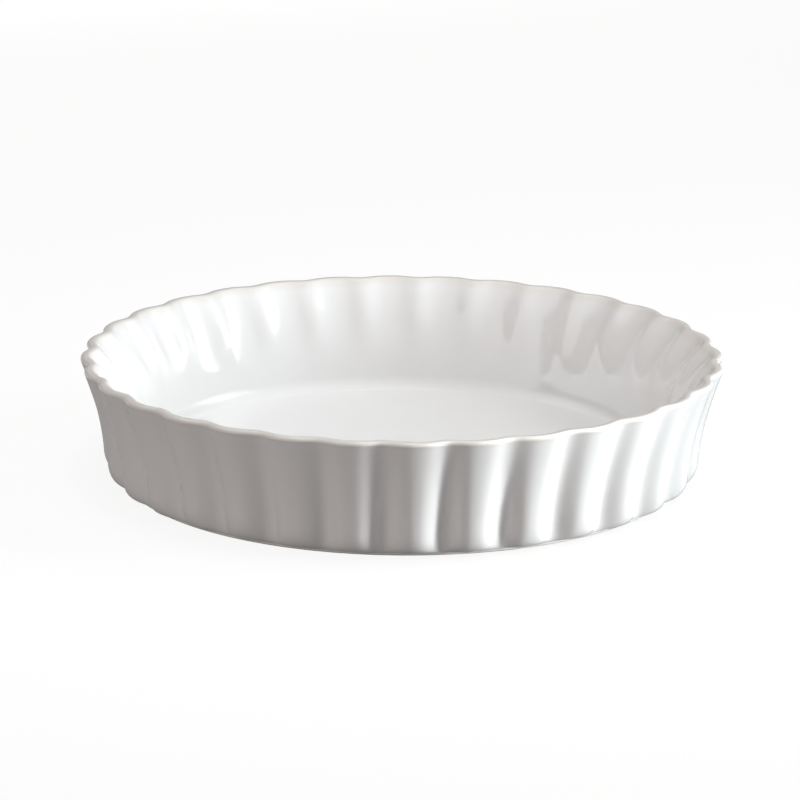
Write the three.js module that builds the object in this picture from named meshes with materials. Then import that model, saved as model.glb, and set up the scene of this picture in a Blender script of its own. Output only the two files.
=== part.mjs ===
// Round fluted baking dish: a fired clay body, the glaze that coats it, and the glaze inside its foot ring.
// Millimetres, +Z up. The origin is the centre of the plane that the foot ring stands on.

import * as THREE from 'three';
import { mergeGeometries, mergeVertices } from 'three/addons/utils/BufferGeometryUtils.js';

// Whole dish, measured on the glaze
const rimDiameter = 280; // over the lobes
const dishHeight = 53.5;
const lipWidth = 6;
const lipOuterRound = 1.4; // radius of the lip's outer edge
const lipInnerRound = 3.6;
const glazeThickness = 0.4;

// Flutes, crest to valley
const fluteCount = 32;
const rimFluteDepth = 2.5;
const baseFluteDepth = 6.5;
const lobeFullness = 0.35; // 0 is an even wave, and more gives broader lobes and narrower valleys
const insideFluteStart = 19; // height above the bench at which the flutes begin inside
const insideFluteFull = 52; // height at which they are as deep as outside

// Outside wall, along the middle of the flutes, with its leans from the vertical in degrees
const wallDiameter = 254.6; // at the top of the toe
const toeHeight = 10; // top of the curve under the lobes
const wallLeanAtToe = 5.5;
const wallLeanAtLip = 22.5;

// Foot ring
const footInset = 5.3; // from the wall in to the ring
const footWidth = 7;
const footHeight = 1.6; // up to the underside of the toe
const bareHeight = 0.5; // bare clay below the glaze line
const recessDepth = 1; // from the bench up to the glaze inside the ring

// Inside
const floorInset = 18.8; // from the wall in to the edge of the flat floor
const floorHeight = 6.5;
const coveRadius = 7.3;
const insideLeanAtCove = 14;
const insideLeanAtLip = 43;
const insideHoldAtCove = 22.8; // how long the inside wall holds to its lean at the cove
const insideHoldAtLip = 16;

// Finishes
const bareClay = { color: 0xe4d8c4, roughness: 0.85, metalness: 0 };
const whiteGlaze = { color: 0xf4f2ef, roughness: 0.12, metalness: 0 };

// Facets
const flutePlaces = [0, 0.19, 0.5, 0.81]; // of the columns across one flute, from its crest
const toeSteps = 3;
const wallSteps = 3;
const lipSteps = 2; // in each of its rounds
const insideSteps = 5;
const coveSteps = 2;

const { lerp, degToRad, smoothstep } = THREE.MathUtils;
const rimSwell = rimFluteDepth / 2;
const baseSwell = baseFluteDepth / 2;
const rimRadius = rimDiameter / 2 - rimSwell;
const shoulderHeight = dishHeight - lipOuterRound;
const wallRadius = wallDiameter / 2;
const footRadius = wallRadius - footInset;
const footBore = footRadius - footWidth;
const floorRadius = wallRadius - floorInset;
const recessRoof = recessDepth + glazeThickness;

// One ring of a section: swell is how far the flutes stand out of it on a crest and sink into it in a valley.
function ring(radius, height, swell = 0) {
  return { radius, height, swell };
}

// Height of the flute wave across one flute, from 1 on the crest to -1 in the valley.
function fluteWave(place) {
  const turn = place * 2 * Math.PI;
  return Math.cos(turn) + lobeFullness * Math.sin(turn) ** 2;
}

const columns = [];
for (let flute = 0; flute < fluteCount; flute++) {
  for (const place of flutePlaces) {
    columns.push({ angle: ((flute + place) / fluteCount) * 2 * Math.PI, wave: fluteWave(place) });
  }
}

// How far the flutes swell the outside of the wall, and its inside.
function outsideSwell(height) {
  return lerp(baseSwell, rimSwell, height / shoulderHeight);
}

function insideSwell(height) {
  return outsideSwell(height) * smoothstep(height, insideFluteStart, insideFluteFull);
}

// The point of the section that is reached from another one along a lean from the vertical.
function leanFrom(point, lean, run) {
  const turn = degToRad(lean);
  return new THREE.Vector2(point.x + run * Math.sin(turn), point.y + run * Math.cos(turn));
}

// A curve in section from one point up to another, with its leans from the vertical at both.
function leaningCurve(low, lowLean, high, highLean) {
  const [from, to] = [degToRad(lowLean), degToRad(highLean)];
  const across = (high.x - low.x) * Math.cos(to) - (high.y - low.y) * Math.sin(to);
  const run = across / Math.sin(from - to);
  return new THREE.QuadraticBezierCurve(low, leanFrom(low, lowLean, run), high);
}

// A point on a round of the section, at an angle in degrees from level and outwards.
function pointOnRound(centre, radius, degrees) {
  const turn = degToRad(degrees);
  return new THREE.Vector2(centre.x + radius * Math.cos(turn), centre.y + radius * Math.sin(turn));
}

// The glazed face in section, from the foot over the rim to the middle of the floor.
// Sink moves it from the surface of the glaze down towards the clay.
function glazedSection(sink) {
  const section = [];
  const add = (point, swell) => section.push(ring(point.x, point.y, swell));
  const outerCentre = new THREE.Vector2(rimRadius - lipOuterRound, shoulderHeight);
  const outerRound = lipOuterRound - sink;
  const innerCentre = new THREE.Vector2(rimRadius - lipWidth + lipInnerRound, dishHeight - lipInnerRound);
  const innerRound = lipInnerRound - sink;
  const coveCentre = new THREE.Vector2(floorRadius, floorHeight + coveRadius);
  const coveRound = coveRadius + sink;

  // Foot, and the toe where the lobes curve in to it
  const footTop = new THREE.Vector2(footRadius - sink, footHeight + sink);
  const toeTop = new THREE.Vector2(wallRadius - sink, toeHeight);
  const toe = leaningCurve(footTop, 90, toeTop, wallLeanAtToe);
  section.push(ring(footTop.x, bareHeight));
  for (let step = 0; step < toeSteps; step++) {
    const point = toe.getPoint(step / toeSteps);
    add(point, (outsideSwell(toeHeight) * (point.x - footTop.x)) / (toeTop.x - footTop.x));
  }

  // Flared wall, up to where it runs into the lip
  const lipStart = pointOnRound(outerCentre, outerRound, -wallLeanAtLip);
  const wall = leaningCurve(toeTop, wallLeanAtToe, lipStart, wallLeanAtLip);
  for (let step = 0; step < wallSteps; step++) {
    const point = wall.getPoint(step / wallSteps);
    add(point, outsideSwell(point.y));
  }

  // Lip, rounded outside and inside with a narrow flat between
  const lipEndTurn = 180 - insideLeanAtLip;
  add(lipStart, rimSwell);
  for (let step = 0; step <= lipSteps; step++) {
    add(pointOnRound(outerCentre, outerRound, lerp(0, 90, step / lipSteps)), rimSwell);
  }
  for (let step = 0; step <= lipSteps; step++) {
    add(pointOnRound(innerCentre, innerRound, lerp(90, lipEndTurn, step / lipSteps)), rimSwell);
  }

  // Inside wall, down to where it runs into the cove
  const lipEnd = pointOnRound(innerCentre, innerRound, lipEndTurn);
  const coveTop = pointOnRound(coveCentre, coveRound, -insideLeanAtCove);
  const upperBend = leanFrom(lipEnd, insideLeanAtLip, -insideHoldAtLip);
  const lowerBend = leanFrom(coveTop, insideLeanAtCove, insideHoldAtCove);
  const inside = new THREE.CubicBezierCurve(lipEnd, upperBend, lowerBend, coveTop);
  for (let step = 1; step < insideSteps; step++) {
    const point = inside.getPoint(step / insideSteps);
    add(point, insideSwell(point.y));
  }

  // Cove and floor
  for (let step = 0; step <= coveSteps; step++) {
    add(pointOnRound(coveCentre, coveRound, lerp(-insideLeanAtCove, -90, step / coveSteps)), 0);
  }
  section.push(ring(0, floorHeight - sink));
  return section;
}

// Turns a section about Z with the flutes laid over it. The faces look to the right of the section's run,
// seen with the axis on the left, or to its left if they are flipped.
function turnSkin(section, flipped = false) {
  const positions = [];
  for (const { radius, height, swell } of section) {
    for (const { angle, wave } of columns) {
      const reach = radius + swell * wave;
      positions.push(reach * Math.cos(angle), reach * Math.sin(angle), height);
    }
  }
  const index = [];
  const addFace = (a, b, c) => (flipped ? index.push(a, c, b) : index.push(a, b, c));
  const count = columns.length;
  for (let row = 0; row < section.length - 1; row++) {
    for (let column = 0; column < count; column++) {
      const here = row * count + column;
      const next = row * count + ((column + 1) % count);
      if (section[row].radius > 0) {
        addFace(here, next, next + count);
      }
      if (section[row + 1].radius > 0) {
        addFace(here, next + count, here + count);
      }
    }
  }
  const skin = new THREE.BufferGeometry();
  skin.setAttribute('position', new THREE.Float32BufferAttribute(positions, 3));
  skin.setIndex(index);
  return skin;
}

function makePiece(name, skins, material) {
  const geometry = mergeVertices(mergeGeometries(skins));
  geometry.computeVertexNormals();
  const piece = new THREE.Mesh(geometry, new THREE.MeshStandardMaterial(material));
  piece.name = name;
  return piece;
}

function clayBody() {
  const glazed = glazedSection(glazeThickness);
  const recess = [ring(0, recessRoof), ring(footBore, recessRoof)];
  const foot = [ring(footBore, 0), ring(glazed[0].radius, 0)];
  return makePiece('clay_body', [turnSkin([...recess, ...foot, ...glazed])], bareClay);
}

function glazeCoat() {
  const face = glazedSection(0);
  const back = glazedSection(glazeThickness);
  const skins = [turnSkin(face), turnSkin(back, true), turnSkin([back[0], face[0]])];
  return makePiece('glaze_coat', skins, whiteGlaze);
}

function undersideGlaze() {
  const face = [ring(0, recessDepth), ring(footBore, recessDepth)];
  const back = [ring(footBore, recessRoof), ring(0, recessRoof)];
  return makePiece('underside_glaze', [turnSkin([...face, ...back])], whiteGlaze);
}

const dish = new THREE.Group();
dish.name = 'baking_dish';
dish.add(clayBody(), glazeCoat(), undersideGlaze());

export default dish;
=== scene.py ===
import math

import bmesh
import bpy
from mathutils import Matrix, Vector


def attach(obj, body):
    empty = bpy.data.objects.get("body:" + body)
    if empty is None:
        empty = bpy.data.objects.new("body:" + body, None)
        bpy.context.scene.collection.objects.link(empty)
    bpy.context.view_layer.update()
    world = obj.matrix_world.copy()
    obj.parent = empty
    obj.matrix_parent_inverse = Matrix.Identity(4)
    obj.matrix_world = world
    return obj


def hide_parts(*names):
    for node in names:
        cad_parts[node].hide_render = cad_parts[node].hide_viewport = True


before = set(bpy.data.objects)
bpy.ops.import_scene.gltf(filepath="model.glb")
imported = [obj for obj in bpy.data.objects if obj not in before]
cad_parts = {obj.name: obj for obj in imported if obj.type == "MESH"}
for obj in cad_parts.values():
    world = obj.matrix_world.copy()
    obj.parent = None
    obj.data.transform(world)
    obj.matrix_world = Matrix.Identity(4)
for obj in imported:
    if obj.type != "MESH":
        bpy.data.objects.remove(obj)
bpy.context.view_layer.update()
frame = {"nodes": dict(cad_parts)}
mm = 0.001
print("frame loaded:", ", ".join(frame["nodes"]))


# Editing helpers

def openPiece(piece):
    bpy.ops.object.select_all(action="DESELECT")
    bpy.context.view_layer.objects.active = piece
    piece.select_set(True)
    bpy.ops.object.mode_set(mode="EDIT")
    bpy.ops.mesh.select_mode(type="VERT")


def pickVerts(piece, wanted):
    bpy.ops.mesh.select_all(action="DESELECT")
    shape = bmesh.from_edit_mesh(piece.data)
    for vert in shape.verts:
        vert.select = wanted(vert)
    shape.select_flush(True)
    bmesh.update_edit_mesh(piece.data, loop_triangles=False, destructive=False)


def pickedIds(piece):
    shape = bmesh.from_edit_mesh(piece.data)
    shape.verts.index_update()
    return {vert.index for vert in shape.verts if vert.select}


def blendTo(low, high, share):
    return low + (high - low) * share


# Section of the dish, in millimetres and degrees
dish = {
    "rimRadius": 140.0,  # over the lobes
    "height": 53.5,
    "lipWidth": 6.0,
    "lipRounds": (1.4, 3.6),  # radius outside and inside
    "flutes": 32,
    "fluteColumns": 16,  # mesh columns across one flute
    "rimSwell": 1.25,  # half the flutes' depth at the lip
    "baseSwell": 3.25,  # and at the bench
    "fullness": 0.35,  # more of it gives broader lobes and narrower valleys
    "insideFlutes": (19.0, 52.0),  # inside, they fade out between these heights
    "wallRadius": 127.3,  # at the top of the toe
    "toeHeight": 10.0,
    "wallLeans": (5.5, 22.5),  # from the vertical, at the toe and at the lip
    "footRadius": 122.0,
    "footBore": 115.0,
    "footHeight": 1.6,
    "footCorner": 0.6,  # radius of the glaze pooled in the corner under the toe
    "bareHeight": 0.5,  # bare clay below the glaze line
    "recess": 1.0,  # from the bench up to the glaze inside the foot ring
    "floorRadius": 108.5,
    "floorHeight": 6.5,
    "coveRadius": 7.3,
    "insideLeans": (14.0, 43.0),  # at the cove and at the lip
    "insideHolds": (22.8, 16.0),  # how long the section holds to each of these
    "glaze": 0.4,
    "middleRadius": 20.0,  # of the last ring, inside which the faces run to one point
    "cornerSteps": 4,
    "toeSteps": 10,
    "wallSteps": 12,
    "lipSteps": 7,  # in each of its rounds
    "insideSteps": 14,
    "coveSteps": 8,
    "weld": 0.01,  # points closer than this are one
    "smoothAngle": 40.0,
}
midRim = dish["rimRadius"] - dish["rimSwell"]
shoulder = dish["height"] - dish["lipRounds"][0]


def fluteWave(place):
    # from 1 on the crest to -1 in the valley
    turn = place * 2 * math.pi
    return math.cos(turn) + dish["fullness"] * math.sin(turn) ** 2


def outsideSwell(height):
    return blendTo(dish["baseSwell"], dish["rimSwell"], height / shoulder)


def insideSwell(height):
    low, high = dish["insideFlutes"]
    share = min(max((height - low) / (high - low), 0), 1)
    return outsideSwell(height) * share * share * (3 - 2 * share)


def roundPoints(centre, radius, first, last, steps):
    turns = [math.radians(blendTo(first, last, step / steps)) for step in range(steps + 1)]
    return [(centre[0] + radius * math.cos(turn), centre[1] + radius * math.sin(turn)) for turn in turns]


def blendPoints(first, second, share):
    return blendTo(first[0], second[0], share), blendTo(first[1], second[1], share)


def curvePoints(controls, steps):
    # neighbouring controls are blended until one point is left
    points = []
    for step in range(steps + 1):
        row = controls
        while len(row) > 1:
            row = [blendPoints(first, second, step / steps) for first, second in zip(row, row[1:])]
        points.append(row[0])
    return points


def leanFrom(point, lean, run):
    turn = math.radians(lean)
    return point[0] + run * math.sin(turn), point[1] + run * math.cos(turn)


def leaningPoints(low, lowLean, high, highLean, steps):
    # a curve up from one point to another, leaning from the vertical as asked at both
    lean, end = math.radians(lowLean), math.radians(highLean)
    across = (high[0] - low[0]) * math.cos(end) - (high[1] - low[1]) * math.sin(end)
    run = across / math.sin(lean - end)
    return curvePoints((low, leanFrom(low, lowLean, run), high), steps)


def plainRings(points):
    # a ring is its radius, its height and how far the flutes swell it
    return [(radius, height, 0) for radius, height in points]


def glazedRings(sink):
    # from the corner under the toe, over the lip to the floor; sink goes down from the glaze to the clay
    wallLow, wallHigh = dish["wallLeans"]
    insideLow, insideHigh = dish["insideLeans"]
    holdLow, holdHigh = dish["insideHolds"]
    outerRound, innerRound = dish["lipRounds"]
    corner = dish["footCorner"]
    toeTop = (dish["wallRadius"] - sink, dish["toeHeight"])
    cornerCentre = (dish["footRadius"] + corner, dish["footHeight"] - corner)
    outerCentre = (midRim - outerRound, shoulder)
    innerCentre = (midRim - dish["lipWidth"] + innerRound, dish["height"] - innerRound)
    coveCentre = (dish["floorRadius"], dish["floorHeight"] + dish["coveRadius"])

    foot = roundPoints(cornerCentre, corner + sink, 180, 90, dish["cornerSteps"])
    toe = leaningPoints(foot[-1], 90, toeTop, wallLow, dish["toeSteps"])
    lip = roundPoints(outerCentre, outerRound - sink, -wallHigh, 90, dish["lipSteps"])
    lip += roundPoints(innerCentre, innerRound - sink, 90, 180 - insideHigh, dish["lipSteps"])
    wall = leaningPoints(toeTop, wallLow, lip[0], wallHigh, dish["wallSteps"])
    cove = roundPoints(coveCentre, dish["coveRadius"] + sink, -insideLow, -90, dish["coveSteps"])
    upperBend = leanFrom(lip[-1], insideHigh, -holdHigh)
    lowerBend = leanFrom(cove[0], insideLow, holdLow)
    inside = curvePoints((lip[-1], upperBend, lowerBend, cove[0]), dish["insideSteps"])

    toeSwell = outsideSwell(dish["toeHeight"]) / (toeTop[0] - foot[-1][0])
    rings = plainRings(foot[:-1])
    rings += [(radius, height, toeSwell * (radius - foot[-1][0])) for radius, height in toe[:-1]]
    rings += [(radius, height, outsideSwell(height)) for radius, height in wall[:-1]]
    rings += [(radius, height, dish["rimSwell"]) for radius, height in lip[:-1]]
    rings += [(radius, height, insideSwell(height)) for radius, height in inside[:-1]]
    rings += plainRings(cove)
    return rings


def columnOf(vert):
    # counted to either side from the crest on +X
    turn = abs(math.atan2(vert.co.y, vert.co.x)) / (2 * math.pi)
    return round(turn * dish["flutes"] * dish["fluteColumns"])


def shapeRing(piece, ring):
    # scales each column of the picked ring out to where the flute has it
    radius, swell = ring[0], ring[2]
    ids = pickedIds(piece)
    for column in range(dish["fluteColumns"] // 2 + 1):
        pickVerts(piece, lambda vert: vert.index in ids and columnOf(vert) == column)
        shape = bmesh.from_edit_mesh(piece.data)
        now = next(vert.co.to_2d().length for vert in shape.verts if vert.select)
        size = (radius + swell * fluteWave(column / dish["fluteColumns"])) * mm / now
        bpy.ops.transform.resize(value=(size, size, 1), center_override=(0, 0, 0))
    pickVerts(piece, lambda vert: vert.index in ids)


def turnPiece(name, rings):
    # one flute is drawn ring by ring, then spun round the dish and closed in the middle
    flutes = dish["flutes"]
    columns = flutes * dish["fluteColumns"]
    weld = dish["weld"] * mm
    start = rings[0]
    bpy.ops.object.select_all(action="DESELECT")
    bpy.ops.mesh.primitive_circle_add(vertices=columns, radius=start[0] * mm, fill_type="NOTHING")
    piece = bpy.context.active_object
    piece.name = name
    openPiece(piece)
    pickVerts(piece, lambda vert: columnOf(vert) > dish["fluteColumns"] // 2)
    bpy.ops.mesh.delete(type="VERT")
    bpy.ops.mesh.select_all(action="SELECT")
    bpy.ops.transform.translate(value=(0, 0, start[1] * mm))
    shapeRing(piece, start)
    for last, ring in zip(rings, rings[1:]):
        lift = (0, 0, (ring[1] - last[1]) * mm)
        bpy.ops.mesh.extrude_region_move(TRANSFORM_OT_translate={"value": lift})
        shapeRing(piece, ring)
    bpy.ops.mesh.select_all(action="SELECT")
    copies = flutes - 1
    turn = 2 * math.pi * copies / flutes
    bpy.ops.mesh.spin(steps=copies, dupli=True, angle=turn, center=(0, 0, 0), axis=(0, 0, 1))
    bpy.ops.mesh.select_all(action="SELECT")
    bpy.ops.mesh.remove_doubles(threshold=weld)
    for end in (rings[0], rings[-1]):
        pickVerts(piece, lambda vert: vert.is_boundary and abs(vert.co.z - end[1] * mm) < weld)
        bpy.ops.mesh.extrude_region_move(TRANSFORM_OT_translate={"value": (0, 0, 0)})
        bpy.ops.mesh.merge(type="CENTER")
    bpy.ops.mesh.select_all(action="SELECT")
    bpy.ops.mesh.normals_make_consistent(inside=False)
    bpy.ops.object.mode_set(mode="OBJECT")
    bpy.ops.object.shade_smooth_by_angle(angle=math.radians(dish["smoothAngle"]))
    print(name, "modelled:", len(piece.data.polygons), "faces")
    return piece


def settle(piece, node, material):
    piece.data.materials.append(material)
    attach(piece, "root")
    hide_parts(node)
    return piece


# Shader helpers

class Wire:
    def __init__(self, tree, socket=None):
        self.tree = tree
        self.socket = socket

    def node(self, kind, settings=None, sockets=None, out=0):
        made = self.tree.nodes.new(kind)
        for key, value in (settings or {}).items():
            setattr(made, key, value)
        for key, value in (sockets or {}).items():
            if isinstance(value, Wire):
                self.tree.links.new(value.socket, made.inputs[key])
            else:
                made.inputs[key].default_value = value
        return Wire(self.tree, made.outputs[out]) if made.outputs else made

    def math(self, operation, first, second=0.0):
        return self.node("ShaderNodeMath", {"operation": operation}, {0: first, 1: second})

    def __add__(self, other):
        return self.math("ADD", self, other)

    def __sub__(self, other):
        return self.math("SUBTRACT", self, other)

    def __rsub__(self, other):
        return self.math("SUBTRACT", other, self)

    def __mul__(self, other):
        return self.math("MULTIPLY", self, other)

    __radd__ = __add__
    __rmul__ = __mul__


def newMaterial(name):
    material = bpy.data.materials.new(name)
    material.use_nodes = True
    material.node_tree.nodes.clear()
    return material, Wire(material.node_tree)


def ramp(wire, value, low, high):
    sockets = {"Value": value, "From Min": low, "From Max": high}
    return wire.node("ShaderNodeMapRange", {"interpolation_type": "SMOOTHSTEP"}, sockets)


def tint(wire, share, first, second):
    # 6, 7 and 2 are the places of the Mix node's colours among its sockets
    return wire.node("ShaderNodeMix", {"data_type": "RGBA"}, {"Factor": share, 6: first, 7: second}, 2)


def noise(wire, place, scale, detail=2.0):
    return wire.node("ShaderNodeTexNoise", {}, {"Vector": place, "Scale": scale, "Detail": detail})


def rayKind(wire, name):
    return wire.node("ShaderNodeLightPath", out=name)


def coverPiece(wire, sockets, relief):
    # relief is a height in metres
    bump = wire.node("ShaderNodeBump", {}, {"Strength": 1.0, "Distance": 1.0, "Height": relief})
    shader = wire.node("ShaderNodeBsdfPrincipled", {}, {**sockets, "Normal": bump})
    wire.node("ShaderNodeOutputMaterial", {}, {"Surface": shader})


# White glaze: glossy, a little uneven, thin and warm over the lip
glazeLook = {
    "white": (0.88, 0.873, 0.862, 1),
    "cloud": (0.86, 0.852, 0.84, 1),
    "cloudScale": 14.0,
    "cloudSpan": (0.35, 0.7),  # of the noise, from the white to the cloud
    "thin": (0.8, 0.76, 0.71, 1),
    "thinShare": 0.8,  # of that colour on top of the lip
    "thinSpan": (0.0505, 0.0542),  # heights between which the glaze gets thin
    "thinWander": 0.0016,  # how far the clouds move them
    "gloss": 0.01,
    "cloudDull": 0.012,  # roughness that the clouds add
    "cloudDullSpan": (0.3, 0.75),
    "thinDull": 0.05,  # and that the lip adds
    "ior": 1.75,
    "waveScale": 38.0,
    "waveDetail": 1.0,
    "waveDepth": 0.00005,
    "peelScale": 420.0,
    "peelDepth": 0.000006,
}


def makeGlaze():
    material, wire = newMaterial("whiteGlaze")
    place = wire.node("ShaderNodeTexCoord", out="Object")
    height = wire.node("ShaderNodeSeparateXYZ", {}, {"Vector": place}, "Z")
    drift = noise(wire, place, glazeLook["cloudScale"])
    clouds = ramp(wire, drift, *glazeLook["cloudSpan"])
    lip = ramp(wire, height + drift * glazeLook["thinWander"], *glazeLook["thinSpan"])
    colour = tint(wire, clouds, glazeLook["white"], glazeLook["cloud"])
    colour = tint(wire, lip * glazeLook["thinShare"], colour, glazeLook["thin"])
    dull = ramp(wire, drift, *glazeLook["cloudDullSpan"]) * glazeLook["cloudDull"]
    rough = glazeLook["gloss"] + dull + lip * glazeLook["thinDull"]
    waves = noise(wire, place, glazeLook["waveScale"], glazeLook["waveDetail"])
    peel = noise(wire, place, glazeLook["peelScale"])
    relief = waves * glazeLook["waveDepth"] + peel * glazeLook["peelDepth"]
    coverPiece(wire, {"Base Color": colour, "Roughness": rough, "IOR": glazeLook["ior"]}, relief)
    return material


# Bare clay: buff, matt and grainy, with specks
clayLook = {
    "buff": (0.66, 0.55, 0.41, 1),
    "pale": (0.74, 0.65, 0.52, 1),
    "cloudScale": 60.0,
    "cloudDetail": 4.0,
    "cloudSpan": (0.35, 0.65),  # of the noise, from the buff to the pale
    "speck": (0.30, 0.20, 0.13, 1),
    "speckScale": 420.0,
    "speckSize": 0.16,  # from its middle, in cells of the pattern
    "speckEdge": 0.08,
    "speckShare": 0.6,
    "rough": 0.82,
    "grainRough": 0.1,
    "grainScale": 1500.0,
    "grainDepth": 0.00008,
}


def makeClay():
    material, wire = newMaterial("bareClay")
    place = wire.node("ShaderNodeTexCoord", out="Object")
    drift = noise(wire, place, clayLook["cloudScale"], clayLook["cloudDetail"])
    grain = noise(wire, place, clayLook["grainScale"])
    cells = {"Vector": place, "Scale": clayLook["speckScale"]}
    fromSpeck = wire.node("ShaderNodeTexVoronoi", {}, cells, "Distance")
    specks = ramp(wire, clayLook["speckSize"] - fromSpeck, 0.0, clayLook["speckEdge"])
    colour = tint(wire, ramp(wire, drift, *clayLook["cloudSpan"]), clayLook["buff"], clayLook["pale"])
    colour = tint(wire, specks * clayLook["speckShare"], colour, clayLook["speck"])
    rough = clayLook["rough"] + grain * clayLook["grainRough"]
    coverPiece(wire, {"Base Color": colour, "Roughness": rough}, grain * clayLook["grainDepth"])
    return material


whiteGlaze = makeGlaze()
bareClay = makeClay()
print("materials made")


# Clay body: the whole dish under its glaze, bare on the foot ring
clay = {
    "sink": 0.5,  # a little under the coat's back, so that it never shows through
    "footEdge": 0.4,  # rounding of the bare ring
    "footEdgeSteps": 5,
}


def makeClayBody():
    middle, bore, edge = dish["middleRadius"], dish["footBore"], clay["footEdge"]
    roof = dish["recess"] + dish["glaze"]
    outer = dish["footRadius"] - dish["glaze"]
    foot = [(middle, roof), (bore, roof)]
    foot += roundPoints((bore + edge, edge), edge, 180, 270, clay["footEdgeSteps"])
    foot += roundPoints((outer - edge, edge), edge, 270, 360, clay["footEdgeSteps"])
    foot.append((outer, dish["bareHeight"]))
    glazed = glazedRings(clay["sink"])
    rings = plainRings(foot) + glazed + [(middle, glazed[-1][1], 0)]
    return settle(turnPiece("clayBody", rings), "clay_body", bareClay)


# Glaze coat: a closed skin from the foot over the lip to the floor, with a soft edge at the glaze line
coat = {
    "edge": ((1.0, 0.02), (0.45, 0.0), (0.1, 0.12), (0.0, 0.4)),  # share of its thickness in, and height
}


def makeGlazeCoat():
    middle, thick = dish["middleRadius"], dish["glaze"]
    face, back = glazedRings(0), glazedRings(thick)
    edge = [(dish["footRadius"] - thick * share, dish["bareHeight"] + rise) for share, rise in coat["edge"]]
    rings = [(middle, back[-1][1], 0)] + back[::-1]
    rings += plainRings(edge)
    rings += face + [(middle, face[-1][1], 0)]
    return settle(turnPiece("glazeCoat", rings), "glaze_coat", whiteGlaze)


# Underside glaze: a thin layer in the recess, with a fillet against the foot ring
underside = {
    "filletWidth": 2.0,
    "filletHeight": 0.35,
    "filletSteps": 4,
}


def makeUndersideGlaze():
    middle, bore, low = dish["middleRadius"], dish["footBore"], dish["recess"]
    high = low + dish["glaze"]
    start = bore - underside["filletWidth"]
    points = [(middle, low), (start, low)]
    for step in range(1, underside["filletSteps"] + 1):
        share = step / underside["filletSteps"]
        points.append((blendTo(start, bore, share), low - underside["filletHeight"] * share ** 2))
    points += [(bore, high), (middle, high)]
    return settle(turnPiece("undersideGlaze", plainRings(points)), "underside_glaze", whiteGlaze)


clayBody = makeClayBody()
glazeCoat = makeGlazeCoat()
undersideGlaze = makeUndersideGlaze()


# Floor: white paper, whose glow the glaze mirrors dimmer close to the dish as painted shadow
paper = {
    "colour": (0.11, 0.105, 0.104, 1),  # low, so that it sends little light up at the dish
    "radius": 5.0,
    "sides": 64,
    "drop": 0.0002,  # below the foot ring
    "glow": 0.9,
    "mirrored": (0.3, 1.0),  # share of the glow that the glaze mirrors, close to the dish and further off; the lower share close to the dish is painted shadow, standing for the dish's shade on the floor
    "paintedShadowReach": (0.2, 0.3),  # from the middle, where the one turns into the other: how far the painted shadow reaches
}
white = (1, 1, 1, 1)


def makeFloor():
    bpy.ops.object.select_all(action="DESELECT")
    bpy.ops.mesh.primitive_circle_add(
        vertices=paper["sides"], radius=paper["radius"], fill_type="NGON", location=(0, 0, -paper["drop"]))
    floor = bpy.context.active_object
    floor.name = "floor"
    material, wire = newMaterial("floorPaper")
    place = wire.node("ShaderNodeTexCoord", out="Object")
    reach = wire.node("ShaderNodeVectorMath", {"operation": "LENGTH"}, {0: place}, "Value")
    near, far = paper["mirrored"]
    # painted shadow: the glaze mirrors a dimmer floor close to the dish, standing for the dish's shade on the
    # floor
    mirrored = near + ramp(wire, reach, *paper["paintedShadowReach"]) * (far - near)
    seen = rayKind(wire, "Is Camera Ray") + rayKind(wire, "Is Transmission Ray")
    seen = seen + rayKind(wire, "Is Glossy Ray") * mirrored
    sheet = wire.node("ShaderNodeBsdfDiffuse", {}, {"Color": paper["colour"]})
    glow = wire.node("ShaderNodeEmission", {}, {"Color": white, "Strength": seen * paper["glow"]})
    both = wire.node("ShaderNodeAddShader", {}, {0: sheet, 1: glow})
    wire.node("ShaderNodeOutputMaterial", {}, {"Surface": both})
    floor.data.materials.append(material)


# Air: a faint warm light from all round, and the room that the glaze mirrors
air = {
    "colour": (1, 0.935, 0.92, 1),
    "light": 0.232,
    "front": 1.0,  # mirrored from the room in front
    "back": 0.03,  # and from its far left and back, up to the ceiling
    "backward": (-0.407, 0.914),  # from the lit part of the room to the dim one
    "backEdge": 0.03,
    "ceiling": (0.6, 0.8),
    "window": 1.4,  # mirrored on top of that from the window on the right
    "windowHalfWidth": 0.19,  # this, its rise and its edge are shares of the way to it
    "windowRise": (0.1, 0.64),
    "windowEdge": 0.04,
}


def makeAir():
    world = bpy.data.worlds.new("studioAir")
    bpy.context.scene.world = world
    world.use_nodes = True
    world.node_tree.nodes.clear()
    wire = Wire(world.node_tree)
    facing = wire.node("ShaderNodeTexCoord", out="Generated")
    across, along, rise = (wire.node("ShaderNodeSeparateXYZ", {}, {"Vector": facing}, axis) for axis in "XYZ")

    behind = across * air["backward"][0] + along * air["backward"][1]
    dim = ramp(wire, behind, -air["backEdge"], air["backEdge"]) * (1 - ramp(wire, rise, *air["ceiling"]))
    half, edge = air["windowHalfWidth"], air["windowEdge"]
    low, high = air["windowRise"]
    window = ramp(wire, across, 0, edge)
    window = window * (1 - ramp(wire, wire.math("ABSOLUTE", along), half, half + edge))
    window = window * ramp(wire, rise, low, low + edge)
    window = window * (1 - ramp(wire, rise, high, high + edge))
    room = air["front"] - dim * (air["front"] - air["back"]) + window * air["window"]

    seen = rayKind(wire, "Is Camera Ray") + rayKind(wire, "Is Transmission Ray")
    mirrored = rayKind(wire, "Is Glossy Ray")
    colour = tint(wire, seen + mirrored, air["colour"], white)
    strength = seen + mirrored * room + (1 - seen - mirrored) * air["light"]
    sky = wire.node("ShaderNodeBackground", {}, {"Color": colour, "Strength": strength})
    wire.node("ShaderNodeOutputWorld", {}, {"Surface": sky})


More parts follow.
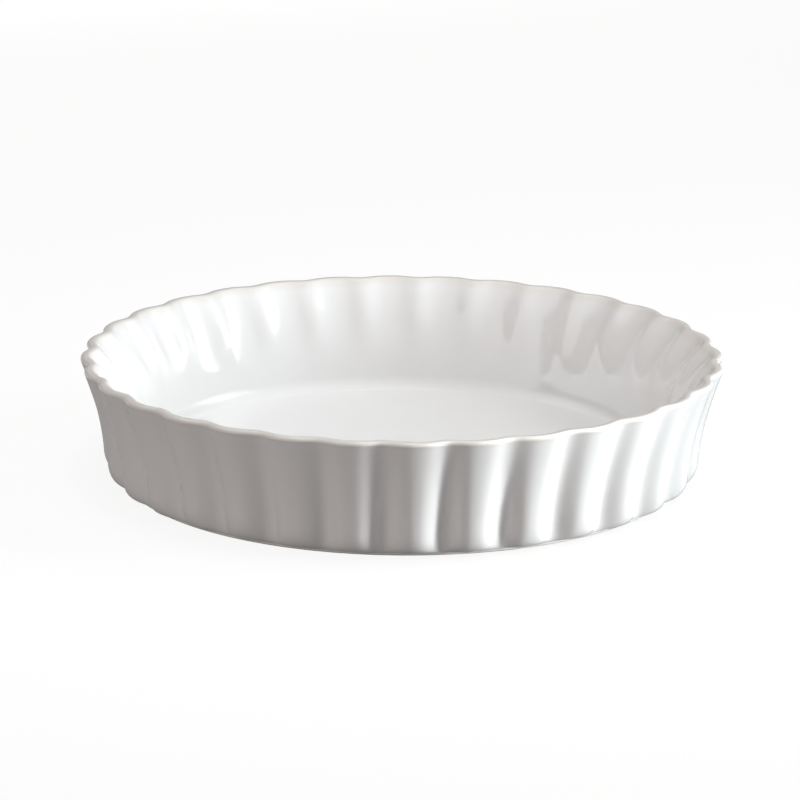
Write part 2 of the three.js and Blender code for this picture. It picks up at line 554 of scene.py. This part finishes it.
# Lamps: a cool window and two low lamps on the right, a warm fill on the left, soft light above and behind
lamps = {
    "window": {
        "place": (1.05, 0.0, 0.5), "aim": (0, 0, 0.03), "size": (0.4, 0.85), "spread": 180,
        "power": 9.7, "colour": (0.875, 0.957, 1),
    },
    "key": {
        "place": (1.23, -0.35, 0.13), "aim": (-0.03, -0.2, 0.03), "size": (0.25, 0.16), "spread": 20,
        "power": 0.39, "colour": (0.95, 0.985, 1),
    },
    "side": {
        "place": (1.19, -0.63, 0.07), "aim": (0.15, 0, 0.03), "size": (0.25, 0.1), "spread": 18,
        "power": 0.045, "colour": (0.95, 0.985, 1),
    },
    "fill": {
        "place": (-0.95, -0.92, 0.23), "aim": (0, 0, 0.03), "size": (1.2, 0.36), "spread": 180,
        "power": 4.45, "colour": (1, 0.935, 0.92),
    },
    "top": {
        "place": (0.1, -0.1, 1.35), "aim": (0, 0, 0), "size": (0.7, 0.7), "spread": 60,
        "power": 1.2, "colour": (0.985, 0.995, 1),
    },
    "behind": {
        "place": (-0.35, 1.25, 0.14), "aim": (0, 0.1, 0.02), "size": (1.4, 0.24), "spread": 180,
        "power": 4.2, "colour": (1, 0.97, 0.96),
    },
}


def makeLamps():
    for name, lamp in lamps.items():
        bpy.ops.object.light_add(type="AREA", location=lamp["place"])
        light = bpy.context.active_object
        light.name = name + "Lamp"
        light.visible_glossy = False  # the glaze mirrors the room instead
        light.data.shape = "RECTANGLE"
        light.data.size, light.data.size_y = lamp["size"]
        light.data.spread = math.radians(lamp["spread"])
        light.data.energy = lamp["power"]
        light.data.color = lamp["colour"]
        ahead = Vector(lamp["aim"]) - Vector(lamp["place"])
        light.rotation_euler = ahead.to_track_quat("-Z", "Y").to_euler()


# Camera: a long lens a little above the rim
shot = {
    "turn": -2.53,  # round the dish, from straight in front
    "rise": 15.96,
    "roll": 0.44,
    "distance": 2.0,
    "aim": 0.02625,  # height of the point on the dish's axis that it is aimed by
    "centre": (401.9, 413.8),  # where that point falls in the picture
    "frame": 800,  # pixels across the picture
    "focalPixels": 4572.0,
    "sensor": 36.0,
}


def makeCamera():
    turn, rise = math.radians(shot["turn"]), math.radians(shot["rise"])
    ahead = Vector((-math.sin(turn) * math.cos(rise), math.cos(turn) * math.cos(rise), -math.sin(rise)))
    right = ahead.cross(Vector((0, 0, 1))).normalized()
    up = right.cross(ahead)
    perPixel = shot["distance"] / shot["focalPixels"]
    middle = shot["frame"] / 2
    rightwards, downwards = shot["centre"][0] - middle, shot["centre"][1] - middle
    aim = Vector((0, 0, shot["aim"]))
    place = aim - ahead * shot["distance"]
    target = aim + up * downwards * perPixel - right * rightwards * perPixel
    data = bpy.data.cameras.new("shotCamera")
    data.sensor_width = shot["sensor"]
    data.lens = shot["sensor"] * shot["focalPixels"] / shot["frame"]
    camera = bpy.data.objects.new("shotCamera", data)
    bpy.context.scene.collection.objects.link(camera)
    facing = (target - place).to_track_quat("-Z", "Y").to_matrix().to_4x4()
    roll = Matrix.Rotation(math.radians(shot["roll"]), 4, "Z")
    camera.matrix_world = Matrix.Translation(place) @ facing @ roll
    bpy.context.scene.camera = camera


makeFloor()
makeAir()
makeLamps()
makeCamera()
bpy.context.scene.view_settings.view_transform = "Standard"
print("studio ready")
